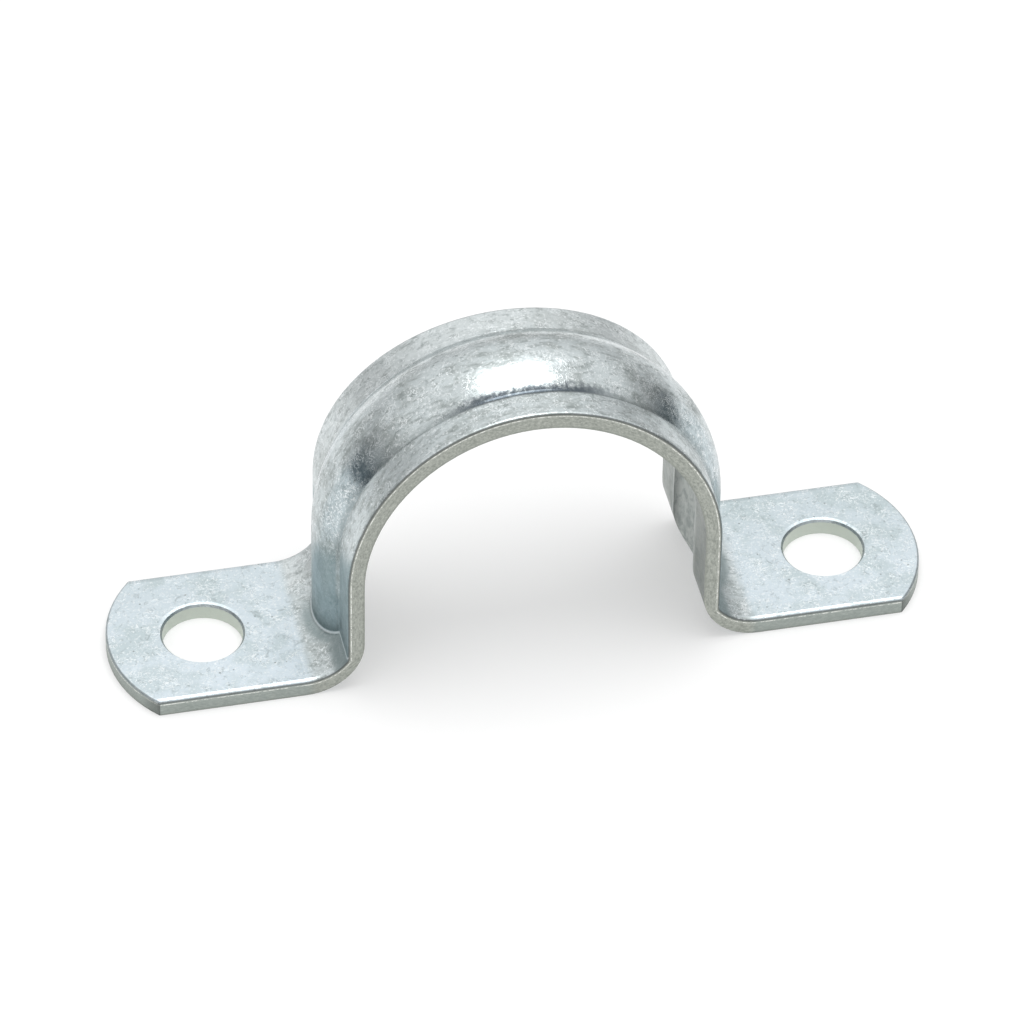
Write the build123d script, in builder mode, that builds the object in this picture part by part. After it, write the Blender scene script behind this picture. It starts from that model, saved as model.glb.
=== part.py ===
from build123d import *
from math import acos, degrees, radians, sin, sqrt
import os

# Two-hole pipe clip pressed in one piece from flat zinc-plated steel sheet.
# It stands on the wall plane: +X runs from hole to hole, +Y along the pipe, +Z away from the wall.
# The origin is on the wall plane, under the middle of the arch.

# Pipe and sheet
pipe_diameter = 33.7
pipe_clearance = 0.3
sheet_thickness = 1.7
strap_width = 18.0

# Arch
pipe_axis_height = 13.0
crown_draw_in = 1.0

# Foot bends: the punch leaves a crease across each leg, and the sheet is a little thinner below it
foot_bend_radius = 5.0
foot_crease_height = 3.8
foot_crease_radius = 0.8
under_bend_radius = 5.8

# Pressed rib
rib_crown_height = 1.5
rib_leg_height = 1.7
rib_crest_radius = 7.8
rib_root_radius = 0.5

# Flanges
hole_spacing = 63.0
hole_diameter = 8.0
end_corner_spacing = 74.8
end_arc_radius = 13.0

# Rims that the press leaves on the outer side of the sheared edges and of the punched holes
edge_rounding = 0.3
hole_bevel = 0.2

# Derived positions
seat_radius = (pipe_diameter + pipe_clearance) / 2
arch_outer_radius = seat_radius + sheet_thickness
crown_height = pipe_axis_height + arch_outer_radius
half_width = strap_width / 2
half_corner_spacing = end_corner_spacing / 2
end_arc_rise = end_arc_radius - sqrt(end_arc_radius**2 - half_width**2)
half_length = half_corner_spacing + end_arc_rise

# Bend axes: the outer bend is tangent to the flange and runs up to the crease on the leg
under_bend_axis_x = seat_radius + under_bend_radius
foot_bend_axis_height = sheet_thickness + foot_bend_radius
foot_bend_angle = degrees(acos((foot_bend_axis_height - foot_crease_height) / foot_bend_radius))
foot_bend_axis_x = arch_outer_radius + foot_bend_radius * sin(radians(foot_bend_angle))

# The rib's crest follows a larger arc with a lower centre, so the rib grows from the crown to the legs
rib_arc_radius = arch_outer_radius + rib_leg_height
rib_top_height = crown_height + rib_crown_height
rib_axis_height = rib_top_height - rib_arc_radius

# The rib body is seated this deep in the sheet at the legs
rib_seating = 0.1
rib_body_depth = rib_leg_height + rib_seating
rib_body_half_width = sqrt(rib_crest_radius**2 - (rib_crest_radius - rib_body_depth) ** 2)

# The rib body ends inside the sheet of the foot bend, under the crest's meeting line with the bend
crest_to_bend_axis = foot_bend_axis_x - rib_arc_radius
base_to_bend_axis = under_bend_axis_x - arch_outer_radius + rib_seating
crest_meeting_height = foot_bend_axis_height - sqrt(foot_bend_radius**2 - crest_to_bend_axis**2)
sheet_underside_height = under_bend_radius - sqrt(under_bend_radius**2 - base_to_bend_axis**2)
rib_foot_height = (crest_meeting_height + sheet_underside_height) / 2

# The trimming bodies reach past the top of the rib
trim_height = rib_top_height + sheet_thickness


def crest_path(foot_height):
    Line((-rib_arc_radius, foot_height), (-rib_arc_radius, rib_axis_height))
    CenterArc((0, rib_axis_height), rib_arc_radius, 180, -180)
    Line((rib_arc_radius, rib_axis_height), (rib_arc_radius, foot_height))


def is_crease_corner(vertex):
    return abs(vertex.Y - foot_crease_height) < foot_crease_radius


def is_long_side(face):
    return abs(face.normal_at().Y) > abs(face.normal_at().X) + abs(face.normal_at().Z)


def is_flange_end(face):
    return face.geom_type == GeomType.CYLINDER and abs(face.center().X) > half_corner_spacing


def is_outer_skin(face):
    return not is_long_side(face) and face.normal_at().dot(face.center()) > sheet_thickness / 2


def is_upper(edge):
    return edge.center().Z > sheet_thickness / 2


with BuildPart() as strap:
    # Bent strip seen along the pipe: the pipe side first, then the outer side with its creases
    with BuildSketch(Plane.XZ) as side_view:
        with BuildLine():
            Line((half_length, 0), (under_bend_axis_x, 0))
            CenterArc((under_bend_axis_x, under_bend_radius), under_bend_radius, 270, -90)
            Line((seat_radius, under_bend_radius), (seat_radius, pipe_axis_height))
            CenterArc((0, pipe_axis_height), seat_radius, 0, 90)
            Polyline((half_length, 0), (half_length, sheet_thickness), (foot_bend_axis_x, sheet_thickness))
            CenterArc((foot_bend_axis_x, foot_bend_axis_height), foot_bend_radius, 270, -foot_bend_angle)
            Line((arch_outer_radius, foot_crease_height), (arch_outer_radius, pipe_axis_height))
            CenterArc((0, pipe_axis_height), arch_outer_radius, 0, 90)
            mirror(about=Plane.YZ)
        make_face()
        fillet(side_view.vertices().filter_by(is_crease_corner), radius=foot_crease_radius)
    extrude(amount=half_width, both=True)

    # Rib raised along both legs and the arch
    with BuildLine(Plane.XZ) as rib_path:
        crest_path(rib_foot_height)
    with BuildSketch(Plane(rib_path.line @ 0, x_dir=(0, 1, 0), z_dir=(0, 0, 1))):
        with BuildLine():
            crest = ThreePointArc(
                (-rib_body_half_width, -rib_body_depth), (0, 0), (rib_body_half_width, -rib_body_depth)
            )
            Line(crest @ 1, crest @ 0)
        make_face()
    sweep(path=rib_path.line)

    # The sheet flows into the rib on a small radius, which runs on round the foot where the rib dies out
    rib_roots = strap.edges().filter_by(Axis.Z)
    rib_roots = rib_roots.filter_by_position(Axis.Y, -rib_body_half_width, rib_body_half_width)
    fillet(rib_roots, radius=rib_root_radius)

    # Groove pressed in from the pipe side, one sheet thickness under the rib
    with BuildLine(Plane.XZ) as groove_path:
        crest_path(0)
    with BuildSketch(Plane(groove_path.line @ 0, x_dir=(0, 1, 0), z_dir=(0, 0, 1))):
        with Locations((0, -rib_crest_radius)):
            Circle(rib_crest_radius - sheet_thickness)
    sweep(path=groove_path.line, mode=Mode.SUBTRACT)

    # The rib draws the sheet in, so the strap narrows from the pipe axis to the crown
    with BuildSketch(Plane.YZ):
        with BuildLine():
            Polyline((0, 0), (half_width, 0), (half_width, pipe_axis_height))
            waist = TangentArc(
                (half_width, pipe_axis_height), (half_width - crown_draw_in, crown_height), tangent=(0, 1)
            )
            Polyline(waist @ 1, (half_width - crown_draw_in, trim_height), (0, trim_height))
            mirror(about=Plane.YZ)
        make_face()
    extrude(amount=half_length, both=True, mode=Mode.INTERSECT)

    # Rounded flange ends
    with BuildSketch():
        with BuildLine():
            front_corner = (half_corner_spacing, -half_width)
            back_corner = (half_corner_spacing, half_width)
            Line((0, -half_width), front_corner)
            ThreePointArc(front_corner, (half_length, 0), back_corner)
            Line(back_corner, (0, half_width))
            mirror(about=Plane.YZ)
        make_face()
    extrude(amount=trim_height, mode=Mode.INTERSECT)

    # Rounded rims where the press sheared the sheet: both long sides, then the flange ends
    long_sides = strap.faces().filter_by(is_long_side)
    outer_skin = strap.faces().filter_by(is_outer_skin)
    fillet(long_sides.edges() & outer_skin.edges(), radius=edge_rounding)
    flange_ends = strap.faces().filter_by(is_flange_end)
    fillet(flange_ends.edges().filter_by(is_upper), radius=edge_rounding)

    # Screw holes, bevelled on the outer side
    with GridLocations(hole_spacing, 0, 2, 1):
        Hole(hole_diameter / 2)
    hole_rims = strap.edges(Select.LAST).group_by(Axis.Z)[-1]
    chamfer(hole_rims, length=hole_bevel)

strap.part.label = "strap"
os.makedirs("parts", exist_ok=True)
export_step(strap.part, "parts/strap.step")
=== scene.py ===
from math import cos, radians, sin

import bpy
from mathutils import Matrix, Vector

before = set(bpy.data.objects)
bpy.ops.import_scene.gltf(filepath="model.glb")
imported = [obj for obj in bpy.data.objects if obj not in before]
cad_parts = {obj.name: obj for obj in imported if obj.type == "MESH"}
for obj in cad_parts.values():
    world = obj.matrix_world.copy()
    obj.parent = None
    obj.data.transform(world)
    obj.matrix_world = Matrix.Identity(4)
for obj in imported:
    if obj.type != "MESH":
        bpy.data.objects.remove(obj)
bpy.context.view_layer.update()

# Camera, fitted to the photograph's outlines: metres and degrees, lens and sensor in millimetres
CAMERA_TARGET = Vector((-0.00138, -0.00408, 0.0160))
CAMERA_AZIMUTH = -12.9
CAMERA_ELEVATION = 42.1
CAMERA_ROLL = 1.0
CAMERA_DISTANCE = 0.6818
CAMERA_CLIP_START = 0.01
CAMERA_LENS = 246.0
SENSOR_WIDTH = 36.0

# White floor: it also glows a little where the camera or a reflection sees it, which softens its shadows
FLOOR_RADIUS = 1.5
FLOOR_SIDES = 96
FLOOR_COLOUR = (0.92, 0.92, 0.92, 1.0)
FLOOR_ROUGHNESS = 0.9
FLOOR_SPECULAR = 0.1
FLOOR_GLOW = (1.0, 1.0, 1.0, 1.0)
FLOOR_GLOW_STRENGTH = 1.0
FLOOR_GLOW_SHARE = 0.35

# Sky: bright overhead, dim at both ends of the strap, and between the two in front and behind
SKY_STOPS = (
    (0.12, (0.085, 0.110, 0.125, 1.0)),
    (0.32, (0.44, 0.44, 0.44, 1.0)),
    (0.60, (1.00, 1.00, 1.00, 1.0)),
)
SKY_RAMP_MIDDLE = 0.5
SKY_BACK_WEIGHT = 0.45
SKY_STRENGTH = 1.0

# One softbox above
SOFTBOX_SIZE = 0.34
SOFTBOX_HEIGHT = 0.62
SOFTBOX_PLACE = (0.04, 0.02)
SOFTBOX_POWER = 1.4

# Sockets of a Mix node: its factor, then two inputs and the output for each type of data
MIX_FACTOR = 0
MIX_SOCKETS = {"FLOAT": (2, 3, 0), "RGBA": (6, 7, 2)}

# A speck is at its strongest within this part of its radius
SPECK_CORE = 0.4
BUMP_STRENGTH = 1.0


class Web:
    """Adds nodes to one node tree; a value is a number, a colour, or another node's output."""

    def __init__(self, tree):
        self.tree = tree

    def join(self, value, socket):
        if isinstance(value, bpy.types.NodeSocket):
            self.tree.links.new(value, socket)
        else:
            socket.default_value = value

    def split(self, vector):
        node = self.tree.nodes.new("ShaderNodeSeparateXYZ")
        self.join(vector, node.inputs[0])
        return [node.outputs[axis] for axis in "XYZ"]

    def math(self, operation, first, second=0.0):
        node = self.tree.nodes.new("ShaderNodeMath")
        node.operation = operation
        self.join(first, node.inputs[0])
        self.join(second, node.inputs[1])
        return node.outputs[0]

    def chain(self, operation, values):
        result = values[0]
        for value in values[1:]:
            result = self.math(operation, result, value)
        return result

    def total(self, *values):
        return self.chain("ADD", values)

    def product(self, *values):
        return self.chain("MULTIPLY", values)

    def largest(self, *values):
        return self.chain("MAXIMUM", values)

    def minus(self, first, second):
        return self.math("SUBTRACT", first, second)

    def length(self, first, second):
        return self.math("SQRT", self.total(self.product(first, first), self.product(second, second)))

    def ease(self, value, low, high, start=0.0, end=1.0):
        node = self.tree.nodes.new("ShaderNodeMapRange")
        node.interpolation_type = "SMOOTHSTEP"
        self.join(value, node.inputs["Value"])
        node.inputs["From Min"].default_value = low
        node.inputs["From Max"].default_value = high
        node.inputs["To Min"].default_value = start
        node.inputs["To Max"].default_value = end
        return node.outputs["Result"]

    def mix(self, data_type, factor, first, second):
        node = self.tree.nodes.new("ShaderNodeMix")
        node.data_type = data_type
        first_socket, second_socket, result = MIX_SOCKETS[data_type]
        self.join(factor, node.inputs[MIX_FACTOR])
        self.join(first, node.inputs[first_socket])
        self.join(second, node.inputs[second_socket])
        return node.outputs[result]

    def blend(self, factor, first, second):
        return self.mix("FLOAT", factor, first, second)

    def tint(self, factor, first, second):
        return self.mix("RGBA", factor, first, second)

    def coats(self, colour, *layers):
        for factor, coat in layers:
            colour = self.tint(factor, colour, coat)
        return colour

    def noise(self, place, scale, detail=2.0, roughness=0.5, distortion=0.0):
        node = self.tree.nodes.new("ShaderNodeTexNoise")
        self.join(place, node.inputs["Vector"])
        node.inputs["Scale"].default_value = scale
        node.inputs["Detail"].default_value = detail
        node.inputs["Roughness"].default_value = roughness
        node.inputs["Distortion"].default_value = distortion
        return node.outputs["Fac"]

    def specks(self, place, scale, radius):
        node = self.tree.nodes.new("ShaderNodeTexVoronoi")
        self.join(place, node.inputs["Vector"])
        node.inputs["Scale"].default_value = scale
        return self.ease(node.outputs["Distance"], radius, SPECK_CORE * radius)

    def bump(self, height, distance, normal=None):
        node = self.tree.nodes.new("ShaderNodeBump")
        node.inputs["Strength"].default_value = BUMP_STRENGTH
        node.inputs["Distance"].default_value = distance
        self.join(height, node.inputs["Height"])
        if normal is not None:
            self.join(normal, node.inputs["Normal"])
        return node.outputs["Normal"]


def add_camera():
    azimuth = radians(CAMERA_AZIMUTH)
    elevation = radians(CAMERA_ELEVATION)
    backward = Vector((sin(azimuth) * cos(elevation), -cos(azimuth) * cos(elevation), sin(elevation)))
    level_right = Vector((cos(azimuth), sin(azimuth), 0.0))
    level_up = backward.cross(level_right)
    roll = radians(CAMERA_ROLL)
    right = level_right * cos(roll) + level_up * sin(roll)
    up = backward.cross(right)
    data = bpy.data.cameras.new("camera")
    data.lens = CAMERA_LENS
    data.sensor_width = SENSOR_WIDTH
    data.clip_start = CAMERA_CLIP_START
    camera = bpy.data.objects.new("camera", data)
    turn = Matrix((right, up, backward)).transposed().to_4x4()
    camera.matrix_world = Matrix.Translation(CAMERA_TARGET + backward * CAMERA_DISTANCE) @ turn
    bpy.context.scene.collection.objects.link(camera)
    bpy.context.scene.camera = camera


def add_floor():
    bpy.ops.mesh.primitive_circle_add(
        vertices=FLOOR_SIDES, radius=FLOOR_RADIUS, fill_type="NGON", location=(0, 0, 0)
    )
    floor = bpy.context.object
    floor.name = "floor"
    material = bpy.data.materials.new("floor")
    material.use_nodes = True
    nodes = material.node_tree.nodes
    shader = nodes["Principled BSDF"]
    shader.inputs["Base Color"].default_value = FLOOR_COLOUR
    shader.inputs["Roughness"].default_value = FLOOR_ROUGHNESS
    shader.inputs["Specular IOR Level"].default_value = FLOOR_SPECULAR
    web = Web(material.node_tree)
    rays = nodes.new("ShaderNodeLightPath").outputs
    seen = web.largest(rays["Is Camera Ray"], rays["Is Glossy Ray"], rays["Is Transmission Ray"])
    glow = nodes.new("ShaderNodeEmission")
    glow.inputs["Color"].default_value = FLOOR_GLOW
    glow.inputs["Strength"].default_value = FLOOR_GLOW_STRENGTH
    mix = nodes.new("ShaderNodeMixShader")
    web.join(web.product(seen, FLOOR_GLOW_SHARE), mix.inputs[0])
    web.join(shader.outputs[0], mix.inputs[1])
    web.join(glow.outputs[0], mix.inputs[2])
    web.join(mix.outputs[0], nodes["Material Output"].inputs["Surface"])
    floor.data.materials.append(material)


def add_world():
    world = bpy.data.worlds.new("studio")
    world.use_nodes = True
    bpy.context.scene.world = world
    web = Web(world.node_tree)
    nodes = world.node_tree.nodes
    coords = nodes.new("ShaderNodeTexCoord")
    _, back, height = web.split(coords.outputs["Generated"])
    reach = web.length(web.largest(height, 0.0), web.product(back, SKY_BACK_WEIGHT))
    ramp = nodes.new("ShaderNodeValToRGB")
    ramp.color_ramp.elements.new(SKY_RAMP_MIDDLE)
    for element, (place, colour) in zip(ramp.color_ramp.elements, SKY_STOPS):
        element.position = place
        element.color = colour
    web.join(reach, ramp.inputs["Fac"])
    background = nodes["Background"]
    web.join(ramp.outputs["Color"], background.inputs["Color"])
    background.inputs["Strength"].default_value = SKY_STRENGTH


def add_softbox():
    light = bpy.data.lights.new("softbox", "AREA")
    light.shape = "SQUARE"
    light.size = SOFTBOX_SIZE
    light.energy = SOFTBOX_POWER
    lamp = bpy.data.objects.new("softbox", light)
    lamp.location = (*SOFTBOX_PLACE, SOFTBOX_HEIGHT)
    bpy.context.scene.collection.objects.link(lamp)


# Zinc plating. Places are millimetres in the object's own frame; these sizes are the part's own
METRES_TO_MM = 1000.0
ARCH_AXIS_HEIGHT = 13.0
ARCH_RADIUS = 18.7
SHEET = 1.7
FOOT_AXIS_X = 22.77
FOOT_AXIS_HEIGHT = 6.7
FOOT_RADIUS = 5.0
CREASE_HEIGHT = 3.8
RIB_AXIS_X = 12.6
RIB_CREST_RADIUS = 7.8
RIB_HALF_WIDTH = 4.8
HOLE_CENTRE = 31.5
HOLE_RADIUS = 4.0
HALF_WIDTH = 9.0

# Colours of the plating, and of the shade, highlights and reflections painted on it
FLANGE_ZINC = (0.690, 0.775, 0.830, 1.0)
FLANGE_CLOUD_AND_SHADE = (0.520, 0.600, 0.620, 1.0)
ARCH_ZINC = (0.590, 0.645, 0.655, 1.0)
ARCH_CLOUD = (0.425, 0.465, 0.460, 1.0)
BACK_LIP = (0.700, 0.740, 0.740, 1.0)
FLANK_REFLECTION_BLUE = (0.330, 0.430, 0.480, 1.0)
BAND_DARK_REFLECTION = (0.050, 0.065, 0.085, 1.0)
ZINC_SPECK_AND_SHADE = (0.230, 0.265, 0.265, 1.0)
ZINC_FLECK_AND_HIGHLIGHT = (0.860, 0.900, 0.910, 1.0)
LEG_TEAL_AND_REFLECTION = (0.260, 0.350, 0.370, 1.0)
FOOT_DARK_REFLECTION = (0.270, 0.330, 0.335, 1.0)
INNER_SHADED_ZINC = (0.520, 0.550, 0.530, 1.0)
INNER_LIP_SHADE = (0.270, 0.295, 0.275, 1.0)

# Colours of the sheared edges
SHEARED_LIGHT = (0.500, 0.520, 0.475, 1.0)
SHEARED_DARK = (0.300, 0.320, 0.290, 1.0)
FLANGE_CUT = (0.350, 0.405, 0.395, 1.0)
RIM_SHADE_DARK = (0.110, 0.120, 0.115, 1.0)
SHEARED_BURR = (0.860, 0.870, 0.830, 1.0)
HOLE_WALL = (0.700, 0.740, 0.690, 1.0)

# Ranges, here and below: the value where a thing is absent, then the value where it is full.
# In a range of four numbers, the last two are the amounts at the first two.
FADE_OUT = (1.0, 0.0)

# Regions: side is the distance from the middle plane, across the distance from the strip's middle line,
# reach the distance from a hole's centre, and facing is one part of the surface normal
INNER_FACING = (-0.10, -0.30)
INNER_SIDE = (19.6, 19.2)
FLANGE_SIDE = (21.6, 22.8)
ARCH_SIDE = (21.2, 20.6)
CUT_SIDE_FACING = (0.84, 0.93)
CUT_SIDE_ACROSS = (7.0, 7.5)
CUT_END_FACING = (0.45, 0.25)
CUT_END_SIDE = (23.4, 24.0)
HOLE_WALL_REACH = (HOLE_RADIUS + 0.30, HOLE_RADIUS + 0.22)
FLANK_ACROSS = (1.2, 2.6)
FLANK_ROOT = (0.15, -0.05)
FLANK_HEIGHT = (14.0, 17.0)

# Painted shade in the root of the rib, strongest in front, over plating that is darker in the recess
ROOT_RIB_SIDE = (-0.75, -0.10)
ROOT_SHEET_SIDE = (0.30, 0.02)
ROOT_HEIGHT = (10.0, 15.0)
ROOT_FRONT = (-1.0, 1.0, 1.0, 0.15)

# Painted dark reflection: a band with a wavy edge along the front root, over the crown
BAND_NOISE = {"scale": 2.2, "detail": 3.0}
BAND_WAVE = (0.35, 0.65, -0.25, 0.25)
BAND_RIB_SIDE = (-1.15, -0.25)
BAND_ROOT_SIDE = (0.10, -0.10)
BAND_SIDE = (10.5, 4.5)
BAND_FRONT = (0.0, -1.0)

# Teal zone low on the legs, partly the plating's own tone and partly painted reflection: its top rises
# towards the front, and it fades beside the roots of the rib
LEG_SLANT = 0.6
LEG_TOP = (13.0, 10.0)
LEG_LIFT = (0.03, 0.12)
LEG_HEIGHT = (5.0, 6.0)
LEG_ROOT_NEAR = (0.55, 0.10)
LEG_ROOT_HEIGHT = (7.5, 9.5)
LEG_ROOT_FADE = (0.0, 1.0, 1.0, 0.25)

# Painted highlight on the crease of the foot, and a painted dark reflection, the lens, below it at the
# foot of the rib;
# lift is how far a point stands out from the skin of the foot bend
FOOT_HIGHLIGHT_START = (0.03, 0.07)
FOOT_HIGHLIGHT_END = (0.22, 0.14)
FOOT_HIGHLIGHT_HEIGHT = (4.4, 4.1)
LENS_OUT = (1.7, 0.7)
LENS_LIFT = (0.06, 0.02)
LENS_HEIGHT = (4.0, 3.7)
LENS_FRONT = (3.5, 0.0)

# Textures; the drawn ones are stretched along the strip
DRAWN_SCALE = 0.45
CLOUDS = {"scale": 0.24, "detail": 3.0, "roughness": 0.62}
MOTTLE = {"scale": 1.3, "detail": 4.0, "roughness": 0.68, "distortion": 0.8}
SPECKLE = {"scale": 3.6, "detail": 3.0, "roughness": 0.6}
STREAKS = {"scale": 1.5, "detail": 4.0, "roughness": 0.66, "distortion": 0.5}
GRAIN = {"scale": 6.5, "detail": 3.0, "roughness": 0.7}
WORMS = {"scale": 1.25, "detail": 2.0, "roughness": 0.5, "distortion": 1.4}
WORM_MIDDLE = 0.5
WORM_WIDTH = (0.032, 0.006)
WORM_PATCHES = {"scale": 0.5, "detail": 1.0}
WORM_SPREAD = (0.44, 0.58)
PITS = {"scale": 1.1, "radius": 0.15}
PIT_PATCHES = {"scale": 0.33, "detail": 1.0}
PIT_SPREAD = (0.46, 0.58)
NICKS = {"scale": 0.85, "radius": 0.17}
NICK_PATCHES = {"scale": 0.3, "detail": 1.0}
NICK_SPREAD = (0.42, 0.56)
EVEN_SHARE = 0.5

# Where each coat of colour lies, and its share over the coats below it
FLANGE_CLOUD_SPREAD = (0.42, 0.64, 0.0, 0.75)
FLANGE_SHADE_BACK = (-7.0, 9.0, 0.0, 0.40)
FLANGE_SHADE_RIGHT = (-5.0, 5.0, 0.0, 0.15)
ARCH_CLOUD_SPREAD = (0.42, 0.62)
ARCH_STREAK_SPREAD = (0.50, 0.74, 0.0, 0.62)
BACK_LIP_FROM = (4.6, 5.2)
BACK_LIP_SHARE = 0.45
FLANK_REFLECTION_FADE = (27.0, 23.0)
FLANK_REFLECTION_SHARE = 0.40
NICK_SHARE = 0.65
MOTTLE_SPREAD = (0.50, 0.74, 0.0, 0.52)
SPECKLE_SPREAD = (0.52, 0.70, 0.0, 0.70)
WORM_SHARE = 0.80
PIT_SHARE = 0.75
ROOT_SHARE = 0.45
BAND_SHARE = 0.85
LEG_SHARE = 0.68
LENS_SHARE = 0.80
FOOT_HIGHLIGHT_SHARE = 0.90
INNER_LIP_FROM = (4.0, 5.2)
INNER_STREAK_SPREAD = (0.42, 0.66, 0.0, 0.60)

# Sheared edges: a light burr near the outer skin, a darker strip near the pipe side, and dark lines of
# painted shade on the rims
GRAIN_SPREAD = (0.30, 0.70)
FLANGE_CUT_SHARE = 0.5
CUT_LOW_DEPTH = (1.45, 1.62)
CUT_LOW_SHARE = 0.6
BURR_START = (0.28, 0.33)
BURR_END = (0.46, 0.38)
BURR_GRAIN = (0.44, 0.56)
RIM_START = (0.52, 0.72)
RIM_END = (0.99, 0.93)
RIM_HOLE_REACH = (HOLE_RADIUS + 0.25, HOLE_RADIUS + 0.35)
BEVEL_REACH = (HOLE_RADIUS + 0.24, HOLE_RADIUS + 0.18)
BEVEL_FACING = (0.98, 0.90)
BEVEL_SHARE = 0.55
BACK_RIM_FACING = (0.20, 0.50)
BACK_RIM_ACROSS = (7.6, 7.9)
BACK_RIM_SHARE = 0.75
END_RIM_FACING = (0.97, 0.85)
END_RIM_SIDE = (36.8, 37.4)
END_RIM_SHARE = 0.60
RIM_SHADE_SHARE = 0.75

# Roughness
METALLIC = 1.0
DULL_ROUGHNESS = (0.38, 0.62, 0.30, 0.48)
FLANK_ROUGHNESS = (0.42, 0.66, 0.15, 0.34)
SHEARED_ROUGHNESS = 0.55
HOLE_WALL_ROUGHNESS = 0.85

# Relief: the press's die roll along the flange edges and the holes, then the grain of the plating.
# The roll is worked out in metres, so its bump distance is 1; one unit of the grain is its distance high
ROLL_WIDTH = 0.55
ROLL_SLOPE = 0.42
ROLL_DISTANCE = 1.0
EDGE_ROLL_FRONT = (-1.0, 1.0, 1.0, 0.35)
EDGE_ROLL_SIDE = (19.6, 21.6)
HOLE_ROLL_BACK = (-0.5, 1.5, 0.0, 0.55)
MOTTLE_RELIEF = 0.6
SPECKLE_RELIEF = 0.25
WORM_RELIEF = 0.25
STREAK_RELIEF = 0.7
FLANK_RELIEF = (0.0, 1.0, 1.0, 0.35)
GRAIN_DISTANCE = 0.00003


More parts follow.
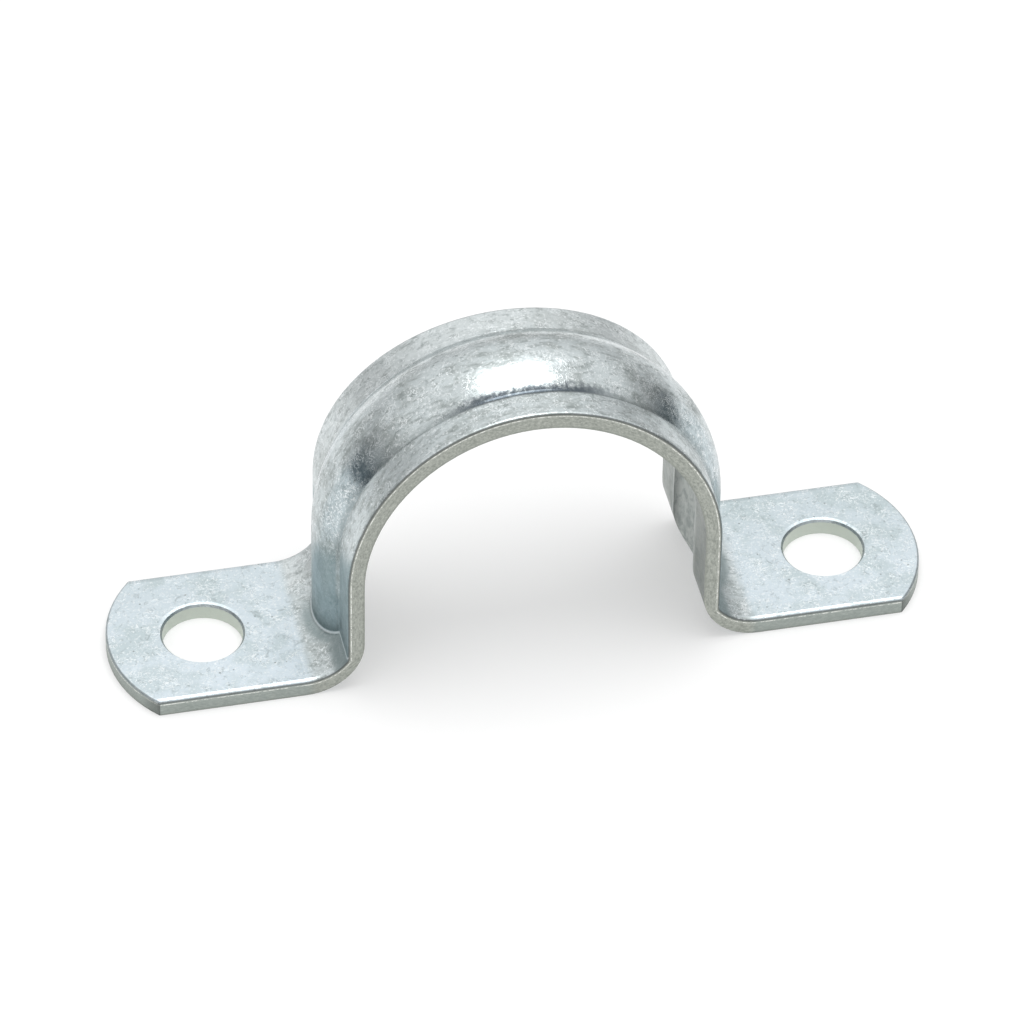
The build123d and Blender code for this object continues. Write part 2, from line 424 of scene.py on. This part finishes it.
class Plating(Web):
    """The strap's zinc: where a point lies on the strap, the textures there, and what they add up to,
    with painted shade, highlights and reflections in its colour.
    """

    def __init__(self, tree):
        super().__init__(tree)
        self.find_place()
        self.find_depth()
        self.find_regions()
        self.find_drawn_place()
        self.add_textures()

    def find_place(self):
        coords = self.tree.nodes.new("ShaderNodeTexCoord")
        scale = self.tree.nodes.new("ShaderNodeVectorMath")
        scale.operation = "SCALE"
        self.join(coords.outputs["Object"], scale.inputs[0])
        scale.inputs["Scale"].default_value = METRES_TO_MM
        self.place = scale.outputs[0]
        self.x, self.y, self.z = self.split(self.place)
        self.side = self.math("ABSOLUTE", self.x)
        self.across = self.math("ABSOLUTE", self.y)
        geometry = self.tree.nodes.new("ShaderNodeNewGeometry")
        self.facing_x, self.facing_y, self.facing_z = self.split(geometry.outputs["Normal"])
        self.facing_side = self.math("ABSOLUTE", self.facing_y)
        self.facing_up = self.math("ABSOLUTE", self.facing_z)

    def find_depth(self):
        # Reach is the distance from the arch's axis, and on the legs from the middle plane
        self.above_axis = self.largest(self.minus(self.z, ARCH_AXIS_HEIGHT), 0.0)
        reach = self.length(self.side, self.above_axis)
        outward_x = self.product(self.facing_x, self.x)
        outward_z = self.product(self.facing_z, self.above_axis)
        facing_out = self.math("DIVIDE", self.total(outward_x, outward_z), reach)
        self.inner = self.product(self.ease(facing_out, *INNER_FACING), self.ease(self.side, *INNER_SIDE))

        # Depth under the outer skin: arch and legs, foot bends, flanges
        self.foot_reach = self.length(
            self.minus(FOOT_AXIS_X, self.side), self.minus(FOOT_AXIS_HEIGHT, self.z)
        )
        foot_depth = self.minus(self.foot_reach, FOOT_RADIUS)
        past_foot = self.math("GREATER_THAN", self.side, FOOT_AXIS_X)
        low_depth = self.blend(past_foot, foot_depth, self.minus(SHEET, self.z))
        below_crease = self.math("LESS_THAN", self.z, CREASE_HEIGHT)
        self.depth = self.blend(below_crease, self.minus(ARCH_RADIUS, reach), low_depth)

    def find_regions(self):
        self.on_flange = self.ease(self.side, *FLANGE_SIDE)
        self.on_arch = self.product(self.ease(self.side, *ARCH_SIDE), self.minus(1.0, self.inner))
        cut_side = self.product(
            self.ease(self.facing_side, *CUT_SIDE_FACING), self.ease(self.across, *CUT_SIDE_ACROSS)
        )
        self.cut_end = self.product(
            self.ease(self.facing_up, *CUT_END_FACING), self.ease(self.side, *CUT_END_SIDE)
        )
        self.sheared = self.largest(cut_side, self.cut_end)
        self.hole_reach = self.length(self.minus(self.side, HOLE_CENTRE), self.y)
        self.hole_wall = self.product(self.cut_end, self.ease(self.hole_reach, *HOLE_WALL_REACH))
        self.from_root = self.minus(self.across, RIB_HALF_WIDTH)
        self.flank = self.product(
            self.ease(self.across, *FLANK_ACROSS),
            self.ease(self.from_root, *FLANK_ROOT),
            self.on_arch,
            self.ease(self.z, *FLANK_HEIGHT),
        )

    def find_drawn_place(self):
        # Distance along the strip from end to end, which draws the marks out along it
        angle = self.math("ARCTAN2", self.above_axis, self.x)
        below_axis = self.largest(self.minus(ARCH_AXIS_HEIGHT, self.z), 0.0)
        past_leg = self.largest(self.minus(self.side, ARCH_RADIUS), 0.0)
        run_down = self.product(self.total(below_axis, past_leg), self.math("SIGN", self.x))
        along = self.minus(self.product(angle, ARCH_RADIUS), run_down)
        gather = self.tree.nodes.new("ShaderNodeCombineXYZ")
        self.join(self.product(along, DRAWN_SCALE), gather.inputs["X"])
        self.join(self.y, gather.inputs["Y"])
        self.join(self.depth, gather.inputs["Z"])
        self.drawn = gather.outputs[0]

    def add_textures(self):
        self.clouds = self.noise(self.place, **CLOUDS)
        self.mottle = self.noise(self.place, **MOTTLE)
        self.speckle = self.noise(self.place, **SPECKLE)
        self.streaks = self.noise(self.drawn, **STREAKS)
        from_worm = self.math("ABSOLUTE", self.minus(self.noise(self.place, **WORMS), WORM_MIDDLE))
        worm_patches = self.ease(self.noise(self.place, **WORM_PATCHES), *WORM_SPREAD)
        self.worms = self.product(self.ease(from_worm, *WORM_WIDTH), worm_patches)
        pit_patches = self.ease(self.noise(self.place, **PIT_PATCHES), *PIT_SPREAD)
        self.pits = self.product(self.specks(self.place, **PITS), pit_patches)
        nick_patches = self.ease(self.noise(self.drawn, **NICK_PATCHES), *NICK_SPREAD)
        self.nicks = self.product(self.specks(self.drawn, **NICKS), nick_patches)

    def root_shade(self):
        # Painted shade along the root of the rib, strongest in front, over plating that is darker in the
        # recess
        return self.product(
            self.ease(self.from_root, *ROOT_RIB_SIDE),
            self.ease(self.from_root, *ROOT_SHEET_SIDE),
            self.on_arch,
            self.ease(self.z, *ROOT_HEIGHT),
            self.ease(self.y, *ROOT_FRONT),
        )

    def dark_reflection_band(self):
        # Painted dark reflection along the front root of the rib, over the crown
        wave = self.ease(self.noise(self.place, **BAND_NOISE), *BAND_WAVE)
        return self.product(
            self.ease(self.total(self.from_root, wave), *BAND_RIB_SIDE),
            self.ease(self.from_root, *BAND_ROOT_SIDE),
            self.ease(self.side, *BAND_SIDE),
            self.ease(self.y, *BAND_FRONT),
            self.on_arch,
        )

    def foot_tone_and_painted_light(self):
        # The crest's profile seen from above gives the distance out from the leg
        bulge_square = self.minus(RIB_CREST_RADIUS * RIB_CREST_RADIUS, self.product(self.y, self.y))
        bulge = self.math("SQRT", self.largest(bulge_square, 0.0))
        profile = self.largest(self.total(bulge, RIB_AXIS_X), ARCH_RADIUS)
        out_from_leg = self.minus(self.side, profile)

        lift = self.minus(FOOT_RADIUS, self.foot_reach)
        above_foot = self.largest(self.ease(lift, *LEG_LIFT), self.ease(self.z, *LEG_HEIGHT))
        slant = self.product(self.math("MINIMUM", self.y, 0.0), LEG_SLANT)
        root_near = self.ease(self.math("ABSOLUTE", self.from_root), *LEG_ROOT_NEAR)
        root_near = self.product(root_near, self.ease(self.z, *LEG_ROOT_HEIGHT))
        # Teal tone low on the legs: partly the plating's own tone, partly painted reflection
        leg = self.product(
            self.ease(self.total(self.z, slant), *LEG_TOP),
            self.on_arch,
            above_foot,
            self.ease(root_near, *LEG_ROOT_FADE),
        )
        # Painted dark reflection below the crease, on the front half
        lens = self.product(
            self.ease(out_from_leg, *LENS_OUT),
            self.ease(lift, *LENS_LIFT),
            self.ease(self.z, *LENS_HEIGHT),
            self.ease(self.y, *LENS_FRONT),
        )
        # Painted highlight along the crease of the foot
        line = self.product(
            self.ease(lift, *FOOT_HIGHLIGHT_START),
            self.ease(lift, *FOOT_HIGHLIGHT_END),
            self.ease(self.z, *FOOT_HIGHLIGHT_HEIGHT),
            self.on_arch,
        )
        return (
            (self.product(leg, LEG_SHARE), LEG_TEAL_AND_REFLECTION),
            (self.product(lens, LENS_SHARE), FOOT_DARK_REFLECTION),
            (self.product(line, FOOT_HIGHLIGHT_SHARE), ZINC_FLECK_AND_HIGHLIGHT),
        )

    def flange_colour(self):
        # Clouds in the zinc, plus painted shade that darkens the flanges towards the back and towards the
        # right
        cloud = self.total(
            self.ease(self.clouds, *FLANGE_CLOUD_SPREAD),
            self.ease(self.y, *FLANGE_SHADE_BACK),
            self.ease(self.x, *FLANGE_SHADE_RIGHT),
        )
        return self.tint(cloud, FLANGE_ZINC, FLANGE_CLOUD_AND_SHADE)

    def arch_colour(self):
        cloud = self.ease(self.blend(EVEN_SHARE, self.clouds, self.streaks), *ARCH_CLOUD_SPREAD)
        back_lip = self.product(self.ease(self.y, *BACK_LIP_FROM), BACK_LIP_SHARE)
        # Painted reflection: a blue tint on the flanks of the rib, fading out towards the crown
        flank = self.product(self.flank, self.ease(self.z, *FLANK_REFLECTION_FADE), FLANK_REFLECTION_SHARE)
        return self.coats(
            ARCH_ZINC,
            (cloud, ARCH_CLOUD),
            (back_lip, BACK_LIP),
            (self.ease(self.streaks, *ARCH_STREAK_SPREAD), ZINC_SPECK_AND_SHADE),
            (flank, FLANK_REFLECTION_BLUE),
            (self.product(self.nicks, NICK_SHARE), ZINC_SPECK_AND_SHADE),
        )

    def shaded_inner_colour(self):
        # Painted shade: the pipe side is a darker copy of the zinc, darkest on its lips
        return self.coats(
            INNER_SHADED_ZINC,
            (self.ease(self.across, *INNER_LIP_FROM), INNER_LIP_SHADE),
            (self.ease(self.streaks, *INNER_STREAK_SPREAD), ZINC_SPECK_AND_SHADE),
        )

    def skin_colour(self):
        outer = self.coats(
            self.tint(self.on_flange, self.arch_colour(), self.flange_colour()),
            (self.ease(self.mottle, *MOTTLE_SPREAD), ZINC_SPECK_AND_SHADE),
            (self.ease(self.speckle, *SPECKLE_SPREAD), ZINC_FLECK_AND_HIGHLIGHT),
            (self.product(self.worms, WORM_SHARE), ZINC_FLECK_AND_HIGHLIGHT),
            (self.product(self.pits, PIT_SHARE), ZINC_SPECK_AND_SHADE),
            (self.product(self.root_shade(), ROOT_SHARE), ZINC_SPECK_AND_SHADE),
            (self.product(self.dark_reflection_band(), BAND_SHARE), BAND_DARK_REFLECTION),
            *self.foot_tone_and_painted_light(),
        )
        return self.tint(self.inner, outer, self.shaded_inner_colour())

    def sheared_colour(self):
        grain = self.noise(self.drawn, **GRAIN)
        burr = self.product(
            self.ease(self.depth, *BURR_START),
            self.ease(self.depth, *BURR_END),
            self.ease(grain, *BURR_GRAIN),
            self.ease(self.hole_wall, *FADE_OUT),
        )
        return self.coats(
            SHEARED_LIGHT,
            (self.ease(grain, *GRAIN_SPREAD), SHEARED_DARK),
            (self.product(self.on_flange, FLANGE_CUT_SHARE), FLANGE_CUT),
            (self.product(self.ease(self.depth, *CUT_LOW_DEPTH), CUT_LOW_SHARE), SHEARED_DARK),
            (self.hole_wall, HOLE_WALL),
            (burr, SHEARED_BURR),
        )

    def rim_shade_line(self):
        # Painted shade: dark lines along the rounded sides, the tops of the holes, the back edges and the
        # ends
        side_rim = self.product(
            self.ease(self.facing_side, *RIM_START),
            self.ease(self.facing_side, *RIM_END),
            self.ease(self.hole_reach, *RIM_HOLE_REACH),
        )
        bevel = self.product(
            self.ease(self.hole_reach, *BEVEL_REACH),
            self.ease(self.facing_up, *BEVEL_FACING),
            self.ease(self.cut_end, *FADE_OUT),
            BEVEL_SHARE,
        )
        back_rim = self.product(
            self.ease(self.facing_y, *BACK_RIM_FACING),
            self.ease(self.across, *BACK_RIM_ACROSS),
            BACK_RIM_SHARE,
        )
        end_rim = self.product(
            self.ease(self.facing_up, *END_RIM_FACING),
            self.ease(self.side, *END_RIM_SIDE),
            END_RIM_SHARE,
            self.ease(self.cut_end, *FADE_OUT),
        )
        return self.largest(side_rim, bevel, back_rim, end_rim)

    def colour(self):
        return self.coats(
            self.skin_colour(),
            (self.sheared, self.sheared_colour()),
            (self.product(self.rim_shade_line(), RIM_SHADE_SHARE), RIM_SHADE_DARK),
        )

    def roughness(self):
        dull = self.ease(self.blend(EVEN_SHARE, self.clouds, self.mottle), *DULL_ROUGHNESS)
        polished = self.ease(self.blend(EVEN_SHARE, self.mottle, self.streaks), *FLANK_ROUGHNESS)
        roughness = self.blend(self.flank, dull, polished)
        roughness = self.blend(self.sheared, roughness, SHEARED_ROUGHNESS)
        return self.blend(self.hole_wall, roughness, HOLE_WALL_ROUGHNESS)

    def relief(self):
        edge_roll = self.product(
            self.largest(self.minus(self.across, HALF_WIDTH - ROLL_WIDTH), 0.0),
            self.ease(self.y, *EDGE_ROLL_FRONT),
            self.ease(self.side, *EDGE_ROLL_SIDE),
        )
        hole_roll = self.product(
            self.largest(self.minus(HOLE_RADIUS + ROLL_WIDTH, self.hole_reach), 0.0),
            self.ease(self.y, *HOLE_ROLL_BACK),
        )
        roll = self.product(self.total(edge_roll, hole_roll), -ROLL_SLOPE / METRES_TO_MM)
        grain = self.total(
            self.product(self.mottle, MOTTLE_RELIEF),
            self.product(self.speckle, SPECKLE_RELIEF),
            self.product(self.worms, WORM_RELIEF),
            self.product(self.streaks, self.on_arch, STREAK_RELIEF),
        )
        grain = self.product(grain, self.ease(self.flank, *FLANK_RELIEF))
        return self.bump(grain, GRAIN_DISTANCE, self.bump(roll, ROLL_DISTANCE))


def zinc_material():
    material = bpy.data.materials.new("zinc_plated_steel")
    material.use_nodes = True
    shader = material.node_tree.nodes["Principled BSDF"]
    plating = Plating(material.node_tree)
    plating.join(plating.colour(), shader.inputs["Base Color"])
    plating.join(plating.roughness(), shader.inputs["Roughness"])
    plating.join(plating.relief(), shader.inputs["Normal"])
    shader.inputs["Metallic"].default_value = METALLIC
    return material


def dress_strap():
    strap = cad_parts["strap"]
    material = zinc_material()
    for slot in strap.material_slots:
        slot.material = material


add_camera()
add_floor()
add_world()
add_softbox()
dress_strap()
bpy.context.scene.view_settings.view_transform = "Standard"
